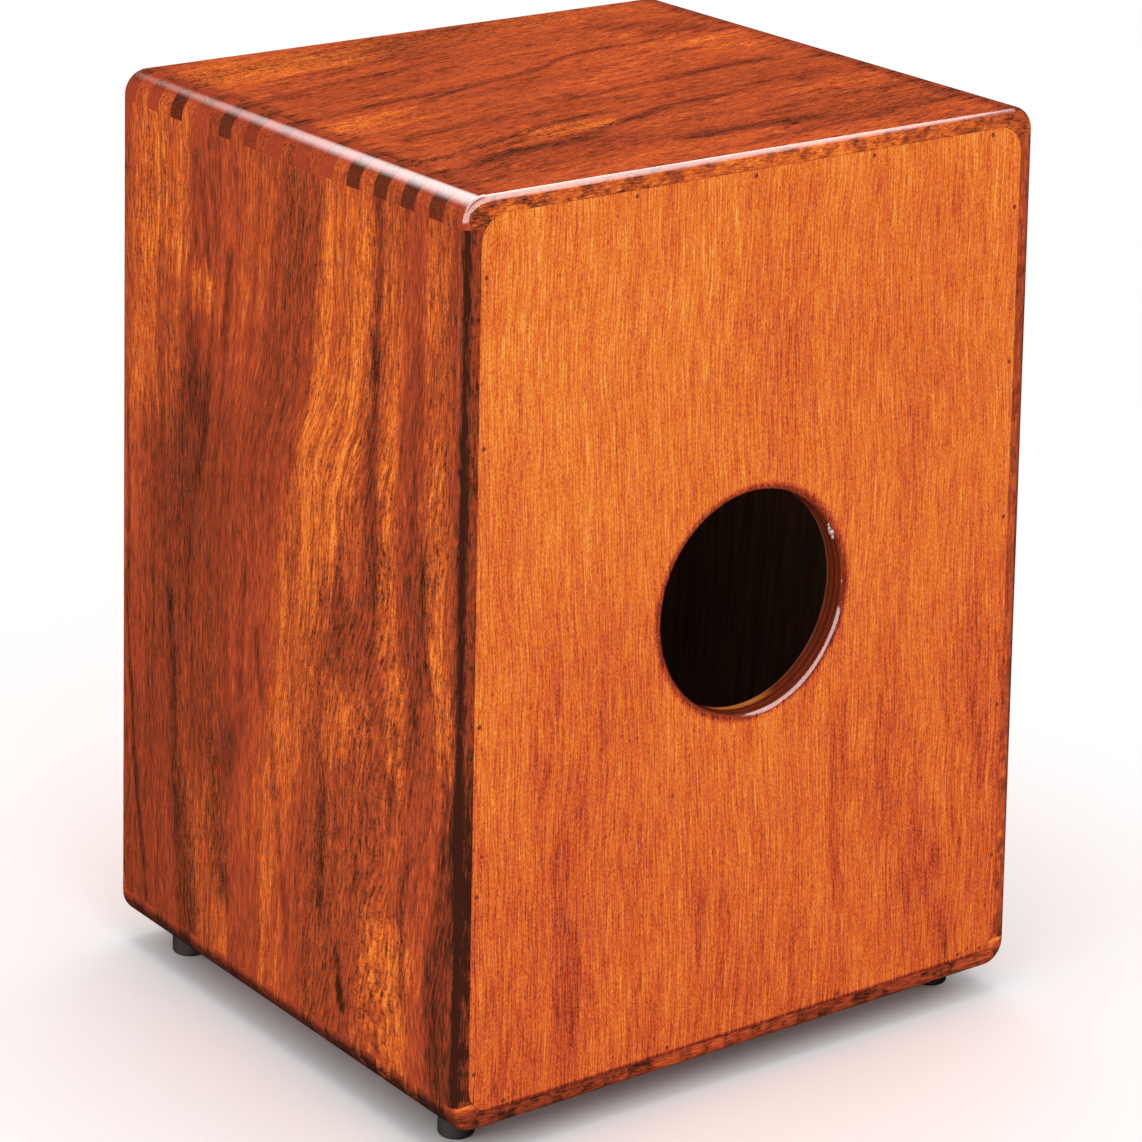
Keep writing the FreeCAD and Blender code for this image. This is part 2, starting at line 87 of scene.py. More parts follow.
# ---- a small writer of material node trees --------------------------------------------------
class Paint:
    """One material. Each method adds nodes and gives back the socket that carries their result."""

    def __init__(self, name):
        self.material = bpy.data.materials.new(name)
        self.material.use_nodes = True
        self.tree = self.material.node_tree
        self.tree.nodes.clear()

    def plug(self, socket, value):
        if isinstance(value, bpy.types.NodeSocket):
            self.tree.links.new(value, socket)
        elif isinstance(value, tuple) and len(value) == 4 and socket.type == "VECTOR":
            socket.default_value = value[:3]
        else:
            socket.default_value = value

    def node(self, kind, inputs, **settings):
        made = self.tree.nodes.new("ShaderNode" + kind)
        for name, value in settings.items():
            setattr(made, name, value)
        for key, value in inputs.items():
            self.plug(made.inputs[key], value)
        return made

    def math(self, operation, a, b=0.0, c=0.0, clamp=False):
        made = self.node("Math", {0: a, 1: b, 2: c}, operation=operation, use_clamp=clamp)
        return made.outputs[0]

    def add(self, *values):
        total = values[0]
        for value in values[1:]:
            total = self.math("ADD", total, value)
        return total

    def times(self, *values):
        total = values[0]
        for value in values[1:]:
            total = self.math("MULTIPLY", total, value)
        return total

    def minus(self, a, b):
        return self.math("SUBTRACT", a, b)

    def largest(self, *values):
        total = values[0]
        for value in values[1:]:
            total = self.math("MAXIMUM", total, value)
        return total

    def length(self, a, b):
        return self.math("SQRT", self.add(self.times(a, a), self.times(b, b)))

    def swing(self, value, size):
        """A value from 0 to 1 as one from -size/2 to size/2."""
        return self.times(self.minus(value, 0.5), size)

    def smooth(self, value, low, high, start=0.0, end=1.0):
        """start below low, end above high, and a smooth step between them."""
        made = self.node("MapRange", {0: value, 1: low, 2: high, 3: start, 4: end},
                         interpolation_type="SMOOTHSTEP")
        return made.outputs[0]

    def mix(self, factor, a, b):
        """Two colours mixed."""
        return self.node("Mix", {0: factor, 6: a, 7: b}, data_type="RGBA").outputs[2]

    def between(self, factor, a, b):
        """Two numbers mixed."""
        return self.node("Mix", {0: factor, 2: a, 3: b}, data_type="FLOAT").outputs[0]

    def vector(self, x, y, z):
        return self.node("CombineXYZ", {0: x, 1: y, 2: z}).outputs[0]

    def noise(self, place, detail=2.0, roughness=0.5, distortion=0.0):
        inputs = {"Vector": place, "Scale": 1.0, "Detail": detail, "Roughness": roughness,
                  "Distortion": distortion}
        return self.node("TexNoise", inputs).outputs[0]

    def ramp(self, factor, stops, interpolation="LINEAR"):
        made = self.node("ValToRGB", {0: factor})
        made.color_ramp.interpolation = interpolation
        elements = made.color_ramp.elements
        while len(elements) < len(stops):
            elements.new(0.5)
        for element, (place, colour) in zip(elements, stops):
            element.position = place
            element.color = colour
        return made.outputs[0]

    def curve(self, factor, points):
        """A smooth curve through (in, out) points, both 0 to 1."""
        made = self.node("FloatCurve", {1: factor})
        line = made.mapping.curves[0]
        while len(line.points) < len(points):
            line.points.new(0.5, 0.5)
        for spot, (x, y) in zip(line.points, points):
            spot.location = (x, y)
        made.mapping.update()
        return made.outputs[0]

    def places(self):
        """X, Y and Z of the shaded point, and the vector itself."""
        vector = self.node("TexCoord", {}).outputs["Object"]
        split = self.node("SeparateXYZ", {0: vector}).outputs
        return split[0], split[1], split[2], vector

    def normals(self):
        """The size of the surface normal's X, Y and Z."""
        split = self.node("SeparateXYZ", {0: self.node("TexCoord", {}).outputs["Normal"]}).outputs
        return [self.math("ABSOLUTE", socket) for socket in split]

    def facing_back(self):
        """1 on faces that look to the back of the drum, and on those that look to the front."""
        return self.smooth(self.normals()[1], 0.6, 0.9)

    def scaled(self, scale):
        """The shaded point as a vector, times scale."""
        inputs = {0: self.places()[3], "Scale": scale}
        return self.node("VectorMath", inputs, operation="SCALE").outputs[0]

    def bump(self, height, distance, strength):
        inputs = {"Strength": strength, "Distance": distance, "Height": height}
        return self.node("Bump", inputs).outputs[0]

    def surface(self, **inputs):
        """The finished surface; an input's name is written in small letters with underscores."""
        named = {}
        for key, value in inputs.items():
            named[key.replace("_", " ").title().replace("Ior", "IOR")] = value
        shader = self.node("BsdfPrincipled", named)
        self.finish(shader.outputs[0])

    def finish(self, shader):
        self.node("OutputMaterial", {0: shader})


# ---- lacquer over wood ------------------------------------------------------------------------
EDGE_COAT = 1.0                     # weight of the clear coat on rounded edges
FLAT_FACE_COAT = 0.25               # and on flat faces, which would mirror the lamps too strongly
RIPPLE = 0.05 * MM                  # height of the lacquer's orange peel
LACQUER_ROUGHNESS = 0.04
LACQUER_IOR = 1.5
INSIDE_DARK = rgb(132, 92, 70)
INSIDE_LIGHT = rgb(160, 118, 92)
INSIDE_MARGIN = 0.4 * MM            # a point this close to an inner wall's plane still counts as inside


def lacquered(paint, colour, pooled=0.0, rim=0.0):
    """Wood colour under a clear gloss coat that is almost, but not quite, flat. pooled is the height
    in metres by which the coat stands proud of the wood; rim is 1 where it is at its glossiest."""
    orange_peel = paint.times(paint.noise(paint.scaled(55.0), detail=1.0), RIPPLE)
    coat = paint.bump(paint.add(orange_peel, pooled), 1.0, 1.0)
    squareness = paint.largest(*paint.normals())
    gloss = paint.smooth(squareness, 0.990, 0.999, EDGE_COAT, FLAT_FACE_COAT)
    paint.surface(base_color=colour, roughness=0.5, specular_ior_level=0.0,
                  coat_weight=paint.largest(gloss, rim), coat_roughness=LACQUER_ROUGHNESS,
                  coat_ior=LACQUER_IOR, coat_normal=coat)


def with_bare_inside(paint, colour, grain):
    """colour on the outside of the box, and bare wood on every surface that faces the air inside it."""
    x, y, z, _ = paint.places()
    wall = BOARD - INSIDE_MARGIN
    between_sides = paint.math("LESS_THAN", paint.math("ABSOLUTE", x), SIDE - wall)
    under_top = paint.math("LESS_THAN", z, TOP - wall)
    over_bottom = paint.math("GREATER_THAN", z, BODY_BOTTOM + wall)
    before_back = paint.math("LESS_THAN", y, PANEL_LOW.y + INSIDE_MARGIN)
    behind_front = paint.math("GREATER_THAN", y, FRONT_INNER - INSIDE_MARGIN)
    inside = paint.times(between_sides, under_top, over_bottom, before_back, behind_front)
    bare = paint.mix(paint.smooth(grain, 0.30, 0.70), INSIDE_DARK, INSIDE_LIGHT)
    return paint.mix(inside, colour, bare)


# Wood colours from the darkest tone, 0, to the lightest, 1.
RED_TONES = (
    (0.00, rgb(60, 28, 20)),
    (0.15, rgb(98, 46, 27)),
    (0.30, rgb(134, 54, 34)),
    (0.50, rgb(168, 67, 41)),
    (0.70, rgb(204, 89, 46)),
    (0.85, rgb(230, 114, 50)),
    (1.00, rgb(246, 150, 76)),
)
GOLDEN_TONES = (
    (0.00, rgb(64, 32, 20)),
    (0.15, rgb(104, 52, 30)),
    (0.30, rgb(146, 66, 36)),
    (0.50, rgb(184, 84, 42)),
    (0.70, rgb(220, 107, 42)),
    (0.85, rgb(238, 126, 44)),
    (1.00, rgb(247, 150, 62)),
)


WIDEST_STRIPE = 24                  # mm; a wider dark patch is not broken up into threads
STRIPE_FADE = (0.1, 1.6)            # a stripe fades between these distances, in half widths
PATCH_FADE = (0.5, 1.25)            # the same for a wide patch or a light band


class Streak:
    """One stripe or patch of the figure. Its centre line is (along, across) points in millimetres;
    darker says how much it darkens, and is negative for a light one."""

    def __init__(self, width, darker, *line):
        self.half_width = width / 2 * MM
        self.darker = darker
        self.thready = darker > 0 and width < WIDEST_STRIPE
        self.start = line[0][0] * MM
        self.length = (line[-1][0] - line[0][0]) * MM
        self.low = (min(across for _, across in line) - 1) * MM
        self.span = (max(across for _, across in line) + 1) * MM - self.low
        self.points = [((along * MM - self.start) / self.length, (across * MM - self.low) / self.span)
                       for along, across in line]

    def mask(self, paint, along, across):
        """1 on the centre line, fading out to both sides and at both ends."""
        share = paint.math("DIVIDE", paint.minus(along, self.start), self.length)
        curve = paint.curve(paint.math("ADD", share, 0.0, clamp=True), self.points)
        centre = paint.add(paint.times(curve, self.span), self.low)
        distance = paint.math("ABSOLUTE", paint.minus(across, centre))
        core, rim = STRIPE_FADE if self.thready else PATCH_FADE
        body = paint.smooth(distance, core * self.half_width, rim * self.half_width, 1.0, 0.0)
        first_end = paint.smooth(share, -0.10, 0.16)
        last_end = paint.smooth(share, 0.84, 1.10, 1.0, 0.0)
        return paint.times(body, first_end, last_end)


def finger_tones(paint, y, levels):
    """How light the end grain of the corner joint's fingers is: one of levels for each finger, from
    the back edge on, with a light glue line between neighbours."""
    finger = paint.math("DIVIDE", paint.minus(BACK - FIRST_FINGER, y), FINGER)
    number = paint.math("FLOOR", paint.times(paint.add(paint.math("FLOOR", finger), 1.0), 0.5))
    lot = paint.math("FRACT", paint.math("DIVIDE", paint.add(number, 0.5), len(levels)))
    steps = [(index / len(levels), (level, level, level, 1.0)) for index, level in enumerate(levels)]
    speckle = paint.noise(paint.scaled(900.0), detail=3.0)
    from_middle = paint.math("ABSOLUTE", paint.minus(paint.math("FRACT", finger), 0.5))
    glue_line = paint.smooth(from_middle, 0.45, 0.49)
    return paint.add(paint.ramp(lot, steps, interpolation="CONSTANT"), paint.swing(speckle, 0.55),
                     paint.times(glue_line, 0.12))


def hardwood(name, along, across, through, streaks=(), tone=0.5, seed=0.0, slant=0.0, flow=None,
             bands=1.0, dashes=0.34, rays=0.08, gold_range=(0.2, 0.85), strip_gold=0.3,
             end_tones=(0.4,), rim_tones_and_shade=None):
    """Figured solid wood. along, across and through are 0, 1 or 2 for the X, Y and Z axes. tone is how
    light the wood is, seed picks its noise, slant and flow lean its grain. bands is the strength of its
    broad bands; dashes and rays say how dark the short and the long flecks are. gold_range is how
    golden the plainest and the lightest wood is, strip_gold how golden the narrow faces round the back
    panel are. end_tones are those of the corner joint's fingers, from the back edge on, and the last
    argument gives more darkness for the rims: the wood's own dark edges and, along the foot, painted
    shade."""
    paint = Paint(name)
    place = paint.places()
    lengthways = place[along]
    depth = paint.add(place[through], seed)
    sideways = paint.minus(place[across], paint.times(lengthways, slant))
    if flow is not None:
        sideways = paint.add(sideways, flow(paint, lengthways, place[across]))

    def grain(across_scale, along_scale, detail=2.0, roughness=0.5, distortion=0.0):
        """Noise; both scales are per metre, and sideways is read at the time of the call."""
        where = paint.vector(paint.times(sideways, across_scale), paint.times(depth, across_scale),
                             paint.times(lengthways, along_scale))
        return paint.noise(where, detail, roughness, distortion)

    def sway(across_scale, along_scale, size):
        return paint.swing(grain(across_scale, along_scale, detail=1.0), size)

    sideways = paint.add(sideways, sway(9.0, 5.0, 0.030), sway(60.0, 22.0, 0.005))
    clouds = grain(20.0, 6.0)
    broad = grain(60.0, 5.0)
    lines = grain(190.0, 12.0, detail=3.0, roughness=0.65)
    fibre = grain(1300.0, 120.0, detail=1.0)
    curl = grain(900.0, 360.0, roughness=0.7, distortion=0.8)
    long_flecks = grain(330.0, 46.0, detail=3.0, roughness=0.75)
    golden_patches = grain(17.0, 3.0, detail=1.0)
    fine_lines = paint.smooth(lines, 0.40, 0.60)

    wander = paint.add(place[across], sway(60.0, 14.0, 0.008), sway(300.0, 40.0, 0.003))
    ragged = paint.add(lengthways, paint.swing(lines, 60.0 * MM))
    strands = paint.add(0.35, paint.times(fine_lines, 0.65))
    dark, light = 0.0, 0.0
    for streak in streaks:
        along_streak = lengthways if streak.thready else ragged
        mask = paint.times(streak.mask(paint, along_streak, wander), abs(streak.darker))
        if streak.thready:
            mask = paint.times(mask, strands)
        if streak.darker > 0:
            dark = paint.add(dark, mask)
        else:
            light = paint.add(light, mask)
    light = paint.times(light, paint.add(0.62, paint.times(fine_lines, 0.72)))
    gold = paint.smooth(paint.add(light, paint.swing(golden_patches, 0.5)), -0.02, 0.22, *gold_range)

    short_dashes = paint.smooth(curl, 0.50, 0.58, 0.0, -dashes)
    tones = paint.add(
        tone,
        paint.minus(light, dark),
        paint.swing(clouds, 0.75 * bands),
        paint.swing(broad, 0.50 * bands),
        paint.swing(lines, 0.50),
        paint.swing(fibre, paint.add(0.70, paint.times(gold, 0.6))),
        paint.swing(curl, paint.add(0.50, paint.times(gold, 0.8))),
        paint.times(short_dashes, paint.add(0.34, paint.times(gold, 1.3))),
        paint.smooth(long_flecks, 0.52, 0.66, 0.0, -rays),
    )
    end_tone = finger_tones(paint, place[1], end_tones)
    # darker rims: the wood's own dark edges, and painted shade along the foot
    if rim_tones_and_shade is not None:
        rims = rim_tones_and_shade(paint, long_flecks)
        tones = paint.minus(tones, rims)
        end_tone = paint.minus(end_tone, rims)

    # end grain shows where the fibres run straight out of the surface
    end_grain = paint.smooth(paint.normals()[along], 0.5, 0.85)
    tones = paint.between(end_grain, tones, end_tone)
    gold = paint.times(gold, paint.minus(1.0, end_grain))
    gold = paint.largest(gold, paint.times(paint.facing_back(), strip_gold))
    colour = paint.mix(gold, paint.ramp(tones, RED_TONES), paint.ramp(tones, GOLDEN_TONES))
    lacquered(paint, with_bare_inside(paint, colour, lines))
    return paint.material


# ---- darkness along the boards' rims, the wood's own and painted shade at the foot: each takes the long flecks, which make it ragged ---
def back_strip(paint):
    """The boards' narrow faces that frame the back panel: mottled, with knots."""
    mottle = paint.noise(paint.scaled(130.0), detail=3.0, roughness=0.6)
    return paint.times(paint.facing_back(), paint.smooth(mottle, 0.38, 0.68, -0.16, 0.18))


def painted_foot_shade(paint, flecks):
    """Painted shade: a dark rim along the foot of the drum, where the rounded lower edge faces down,
    away from the light.
    """
    ragged = paint.add(paint.places()[2], paint.times(flecks, -6.0 * MM))
    rim = paint.smooth(ragged, BODY_BOTTOM + 6.0 * MM, BODY_BOTTOM + 12.0 * MM, 0.40, 0.0)
    return paint.add(rim, back_strip(paint))


def side_rims_and_foot_shade(paint, flecks):
    """The painted shade along the foot, and a dark line down the upright back edge that broadens
    towards the foot.
    """
    x, y, z, _ = paint.places()
    near_side = paint.smooth(paint.math("ABSOLUTE", x), SIDE - 4.5 * MM, SIDE - 1.0 * MM)
    ragged = paint.add(y, paint.times(flecks, 2.0 * MM))
    near_back = paint.smooth(ragged, BACK - 3.0 * MM, BACK, 0.0, 0.5)
    on_strip = paint.smooth(y, BACK - 1.0 * MM, BACK)
    low_strip = paint.times(on_strip, paint.smooth(z, 0.06, 0.34, 0.16, 0.0))
    # the painted shade along the foot, and the narrow back faces darker towards the foot
    foot = paint.add(painted_foot_shade(paint, flecks), low_strip)
    return paint.largest(foot, paint.times(near_side, near_back))


def ends_of_top(paint, flecks):
    """The dark fringe where the top board runs into the corner joint."""
    reach = paint.math("ABSOLUTE", paint.places()[0])
    start = SIDE - BOARD
    ragged = paint.add(reach, paint.times(flecks, 26.0 * MM))
    fringe = paint.times(paint.smooth(ragged, start + 2.0 * MM, start + 14.0 * MM),
                         paint.smooth(reach, SIDE - 5.0 * MM, SIDE - 1.0 * MM, 0.20, 0.0))
    return paint.add(fringe, back_strip(paint))


# ---- the four boards -----------------------------------------------------------------------------
# How far the left side's grain bends, from the foot to the top edge and from the front to the back.
BEND_UP = [(0.0, 1.0), (0.2, 0.72), (0.5, 0.5), (0.62, 0.44), (0.76, 0.10), (1.0, 0.0)]
BEND_ACROSS = [(0.0, 0.1), (0.2, 0.35), (0.45, 0.8), (0.62, 1.0), (0.85, 0.6), (1.0, 0.4)]


def left_side_flow(paint, height, y):
    """How far the grain bends sideways: towards the foot it leans forward, most in mid-board."""
    share = paint.math("DIVIDE", paint.minus(height, BODY_BOTTOM), TOP - BODY_BOTTOM, clamp=True)
    place = paint.math("DIVIDE", paint.minus(y, FRONT), BACK - FRONT, clamp=True)
    weight = paint.add(paint.curve(place, BEND_ACROSS), -0.3)
    return paint.times(paint.curve(share, BEND_UP), weight, 0.085)


# The figure of the left side board. Along is the height, across is Y.
LEFT_SIDE_STREAKS = (
    # the golden band, from the top edge down and forward to the foot
    Streak(56, -0.25, (240, 16), (264, 22), (300, 30), (340, 42), (385, 54), (480, 57)),
    Streak(34, -0.10, (262, 54), (330, 62), (390, 68)),
    Streak(48, -0.13, (96, -14), (150, -6), (190, 6), (250, 16)),
    Streak(24, -0.16, (22, -8), (60, -8), (104, -12)),
    # other light bands and patches
    Streak(20, -0.20, (236, 98), (300, 95), (400, 96), (478, 98)),
    Streak(22, -0.17, (252, 140), (300, 136), (400, 135), (478, 138)),
    Streak(16, -0.20, (196, 145), (226, 143), (262, 135)),
    Streak(60, -0.24, (388, -114), (430, -112), (482, -112)),
    Streak(54, -0.12, (300, -124), (350, -120), (404, -118)),
    Streak(30, -0.20, (366, -74), (380, -72), (396, -70)),
    Streak(60, -0.09, (20, -60), (80, -64), (130, -70)),
    Streak(44, -0.14, (172, 60), (190, 62), (214, 64)),
    Streak(18, -0.16, (180, 102), (212, 102), (238, 104)),
    Streak(58, -0.18, (14, 88), (60, 94), (110, 104)),
    Streak(34, -0.07, (380, -30), (430, -28), (470, -28)),
    # deep red patches
    Streak(96, 0.15, (140, -92), (220, -92), (300, -84), (345, -72)),
    Streak(40, 0.07, (240, -30), (300, -18), (390, 4), (470, 14)),
    Streak(34, 0.11, (216, 58), (236, 60), (260, 64)),
    Streak(24, 0.14, (190, 120), (240, 118), (310, 119)),
    Streak(40, 0.08, (20, 34), (80, 34), (150, 42)),
    # the dark back edge, widest at the foot
    Streak(26, 0.26, (10, 147), (80, 145), (130, 148), (196, 158)),
    Streak(96, 0.11, (6, -120), (60, -112), (150, -100)),
    Streak(5, 0.30, (10, 158), (240, 158), (474, 158)),
    Streak(5, 0.26, (120, 152), (240, 153), (380, 154)),
    # stripes beside the golden band
    Streak(6, 0.24, (330, 16), (361, 23), (400, 29), (468, 33)),
    Streak(9, 0.22, (255, 6), (290, 6), (330, 12)),
    Streak(8, 0.28, (370, 83), (420, 84), (474, 85)),
    Streak(16, 0.32, (246, 90), (280, 84), (318, 81), (395, 83)),
    Streak(9, 0.22, (300, 116), (350, 118), (405, 121)),
    Streak(5, 0.26, (228, 133), (270, 127), (305, 124)),
    # smoky stripes below the top edge, towards the front
    Streak(8, 0.24, (390, -80), (430, -86), (466, -88)),
    Streak(8, 0.24, (388, -68), (420, -75), (458, -82)),
    Streak(7, 0.18, (390, -60), (425, -64), (445, -72)),
    Streak(12, 0.28, (308, -82), (340, -84), (372, -87)),
    Streak(8, 0.28, (276, -80), (320, -72), (366, -65)),
    Streak(7, 0.30, (350, -57), (375, -52), (410, -48)),
    # the front edge and the lower half
    Streak(4, 0.30, (150, -147), (230, -149), (320, -149)),
    Streak(4, 0.38, (20, -128), (90, -139), (165, -148)),
    Streak(7, 0.26, (115, -101), (170, -104), (218, -107)),
    Streak(17, 0.28, (16, -84), (60, -92), (122, -100)),
    Streak(6, 0.28, (158, -37), (200, -36), (252, -32)),
    Streak(22, 0.28, (60, -50), (110, -55), (148, -46), (168, -38)),
    Streak(11, 0.22, (18, -42), (50, -46), (78, -52)),
    Streak(6, 0.30, (178, -17), (200, -20), (222, -22)),
    Streak(5, 0.24, (50, 8), (90, 4), (130, -2), (168, -8)),
    Streak(10, 0.26, (84, 40), (120, 38), (172, 39)),
    Streak(6, 0.55, (42, 60), (58, 57), (78, 54)),
    Streak(5, 0.26, (146, 100), (190, 103), (224, 104)),
    Streak(6, 0.22, (100, 66), (150, 76), (192, 82)),
    Streak(4, 0.22, (180, 80), (210, 80), (246, 84)),
    Streak(6, 0.28, (60, 118), (100, 112), (152, 118)),
)

# The figure of the top board. Along is X, across is Y.
TOP_STREAKS = (
    Streak(6, 0.34, (30, -88), (70, -76), (124, -67), (168, -50)),
    Streak(6, 0.34, (-98, -67), (-38, -60), (-10, -45), (41, -31), (92, -10)),
    Streak(9, 0.36, (-134, 0), (-107, 1), (-74, 7), (-44, 11)),
    Streak(8, 0.22, (-44, 12), (-10, 16), (30, 24)),
    Streak(9, 0.34, (72, 30), (84, 34), (113, 41), (143, 48)),
    Streak(6, 0.36, (18, 50), (59, 59), (105, 73), (168, 91)),
    Streak(8, 0.34, (-68, 52), (-10, 61), (19, 70), (60, 88)),
    Streak(12, 0.38, (50, 90), (105, 95), (136, 103)),
    Streak(12, 0.38, (-76, 117), (-24, 115), (24, 116)),
    Streak(5, 0.34, (-112, 127), (-46, 136), (6, 144)),
    Streak(5, 0.24, (40, -104), (90, -98), (130, -92)),
    Streak(5, 0.24, (60, -28), (110, -22), (160, -8)),
    Streak(5, 0.22, (-150, 84), (-100, 88), (-40, 96)),
    Streak(50, 0.12, (-44, -142), (0, -132), (50, -114)),
    Streak(40, 0.14, (-152, -88), (-120, -94), (-90, -100)),
    Streak(46, 0.08, (-165, 100), (-100, 112), (-30, 116)),
    Streak(34, 0.08, (20, 100), (90, 104), (160, 124)),
    Streak(44, -0.10, (-140, -44), (-110, -60), (-84, -80)),
    Streak(54, -0.07, (-70, -20), (-40, -16), (0, -4)),
    Streak(20, -0.16, (24, 68), (50, 68), (80, 70)),
    Streak(44, -0.08, (60, -120), (110, -120), (165, -112)),
    Streak(30, -0.10, (90, 0), (130, 6), (165, 14)),
    Streak(26, -0.08, (-150, 60), (-110, 62), (-80, 66)),
)

# How light the end grain of each finger is, from the back edge to the front edge.
TOP_ENDS = (0.50, 0.20, 0.16, 0.18, 0.18, 0.50, 0.46, 0.46, 0.34, 0.18, 0.50, 0.16, 0.48, 0.45)
SIDE_ENDS = (0.46, 0.42, 0.50, 0.44, 0.48)
BOTTOM_ENDS = (0.50, 0.34, 0.40, 0.32, 0.42, 0.54, 0.50, 0.54, 0.50, 0.48, 0.52, 0.46, 0.50, 0.50)

boards = {
    "left_side_panel": hardwood(
        "left_side_wood", 2, 1, 0, LEFT_SIDE_STREAKS, tone=0.52, flow=left_side_flow, bands=0.22,
        end_tones=SIDE_ENDS, rim_tones_and_shade=side_rims_and_foot_shade),
    "right_side_panel": hardwood(
        "right_side_wood", 2, 1, 0, tone=0.55, seed=3.7, flow=left_side_flow,
        end_tones=SIDE_ENDS, rim_tones_and_shade=side_rims_and_foot_shade),
    "top_panel": hardwood(
        "top_wood", 0, 1, 2, TOP_STREAKS, tone=0.62, seed=1.3, slant=0.16, bands=0.4,
        dashes=0.42, rays=0.22, gold_range=(0.3, 0.9), strip_gold=0.9,
        end_tones=TOP_ENDS, rim_tones_and_shade=ends_of_top),
    "bottom_panel": hardwood(
        "bottom_wood", 0, 1, 2, tone=0.76, seed=8.1, slant=-0.08, bands=0.6,
        end_tones=BOTTOM_ENDS, rim_tones_and_shade=painted_foot_shade),
}


# ---- plywood ----------------------------------------------------------------------------------
PLYWOOD_TONES = (
    (0.00, rgb(112, 42, 28)),
    (0.22, rgb(178, 68, 42)),
    (0.45, rgb(214, 96, 45)),
    (0.65, rgb(230, 124, 48)),
    (0.82, rgb(238, 148, 62)),
    (1.00, rgb(246, 178, 98)),
)
HOLE_PLIES = (
    (0.00, rgb(168, 68, 36)),
    (0.20, rgb(112, 45, 26)),
    (0.36, rgb(164, 66, 35)),
    (0.52, rgb(100, 41, 25)),
    (0.68, rgb(158, 64, 34)),
    (0.84, rgb(112, 46, 26)),
    (0.94, rgb(172, 76, 38)),
)


PLY_STREAK = rgb(84, 36, 20)
PAINTED_LIGHT_PLY = rgb(255, 142, 62)         # painted light: a brighter colour for the innermost plies at the foot of the hole, standing in for the lamp light that reaches them


def plies_in_the_hole(paint, x, y, z):
    """The plies that show in the wall of the sound hole, from the outer face inwards, with painted
    light on the innermost plies at its foot.
    """
    share = paint.math("DIVIDE", paint.minus(PANEL_HIGH.y, y), PANEL_HIGH.y - PANEL_LOW.y)
    where = paint.vector(paint.times(x, 90.0), paint.times(y, 900.0), paint.times(z, 90.0))
    streaky = paint.smooth(paint.noise(where), 0.35, 0.65, 0.0, 0.5)
    plies = paint.mix(streaky, paint.ramp(share, HOLE_PLIES), PLY_STREAK)
    # painted light on the innermost plies low in the hole
    painted_light_low_side = paint.smooth(z, HOLE_Z - 57.0 * MM, HOLE_Z - 52.0 * MM, 0.9, 0.0)
    return paint.mix(paint.times(painted_light_low_side, paint.smooth(share, 0.55, 0.8)), plies, PAINTED_LIGHT_PLY)


def plywood(name, hole=False, seed=0.0):
    """Stained face veneer with fine upright lines. hole adds what the sound hole needs: a burnt ring
    round it, lacquer pooled on its rim, and the plies in its wall."""
    paint = Paint(name)
    x, y, z, _ = paint.places()
    depth = paint.add(y, seed)
    where = paint.vector(paint.times(x, 7.0), paint.times(depth, 7.0), paint.times(z, 7.0))
    x_leaning = paint.add(x, paint.swing(paint.noise(where), 0.022), paint.times(z, -0.02))

    def grain(across_scale, along_scale, detail=2.0, roughness=0.5):
        """Noise; both scales are per metre."""
        where = paint.vector(paint.times(x_leaning, across_scale), paint.times(depth, across_scale),
                             paint.times(z, along_scale))
        return paint.noise(where, detail, roughness)

    clouds = grain(14.0, 9.0, detail=3.0)
    bands = grain(80.0, 4.0)
    flecks = grain(950.0, 70.0, roughness=0.7)
    threads = grain(2100.0, 52.0, detail=1.0)
    pits = grain(1000.0, 260.0, detail=1.0)
    speckle = grain(1500.0, 900.0, detail=1.0)
    smudges = paint.smooth(grain(48.0, 9.0, detail=3.0, roughness=0.6), 0.48, 0.70, 0.0, -0.17)
    light_lines = grain(420.0, 13.0)
    tones = paint.add(
        0.53,
        paint.smooth(z, BODY_BOTTOM, TOP, -0.09, 0.06),
        paint.swing(clouds, 0.36),
        paint.swing(bands, 0.24),
        paint.swing(flecks, 0.34),
        paint.swing(threads, 1.00),
        paint.swing(speckle, 0.75),
        paint.times(smudges, paint.smooth(z, 0.10, 0.34, 1.0, 0.3)),
        paint.smooth(pits, 0.60, 0.70, 0.0, -0.18),
        paint.smooth(light_lines, 0.60, 0.70, 0.0, 0.14),
    )
    # painted shade: the veneer darkens over the lowest 1.5 mm above the panel's lower edge, a painted
    # shadow in the gap there
    above_shadow_gap = paint.minus(paint.add(z, paint.times(speckle, -1.0 * MM)), PANEL_LOW.z)
    tones = paint.minus(tones, paint.smooth(above_shadow_gap, 0.0, 1.5 * MM, 0.4, 0.0))
    pooled, rim = 0.0, 0.0
    if hole:
        outside = paint.minus(paint.length(x, paint.minus(z, HOLE_Z)), HOLE_RADIUS)
        ragged = paint.swing(paint.noise(paint.scaled(1000.0), detail=3.0), 6.0 * MM)
        burnt = paint.smooth(paint.add(outside, ragged), 1.8 * MM, 5.2 * MM, 0.42, 0.0)
        tones = paint.minus(tones, burnt)
    colour = paint.ramp(tones, PLYWOOD_TONES)
    if hole:
        wall = paint.smooth(outside, 0.2 * MM, 1.2 * MM, 1.0, 0.0)
        colour = paint.mix(wall, colour, plies_in_the_hole(paint, x, y, z))
        pooled = paint.smooth(outside, 0.0, 4.0 * MM, 0.0, 1.7 * MM)
        rim = paint.smooth(outside, 4.0 * MM, 5.0 * MM, 1.0, 0.0)
    lacquered(paint, with_bare_inside(paint, colour, flecks), pooled, rim)
    return paint.material


panels = {
    "back_panel": plywood("back_plywood", hole=True),
    "front_plate": plywood("front_plywood", seed=40.0),
}


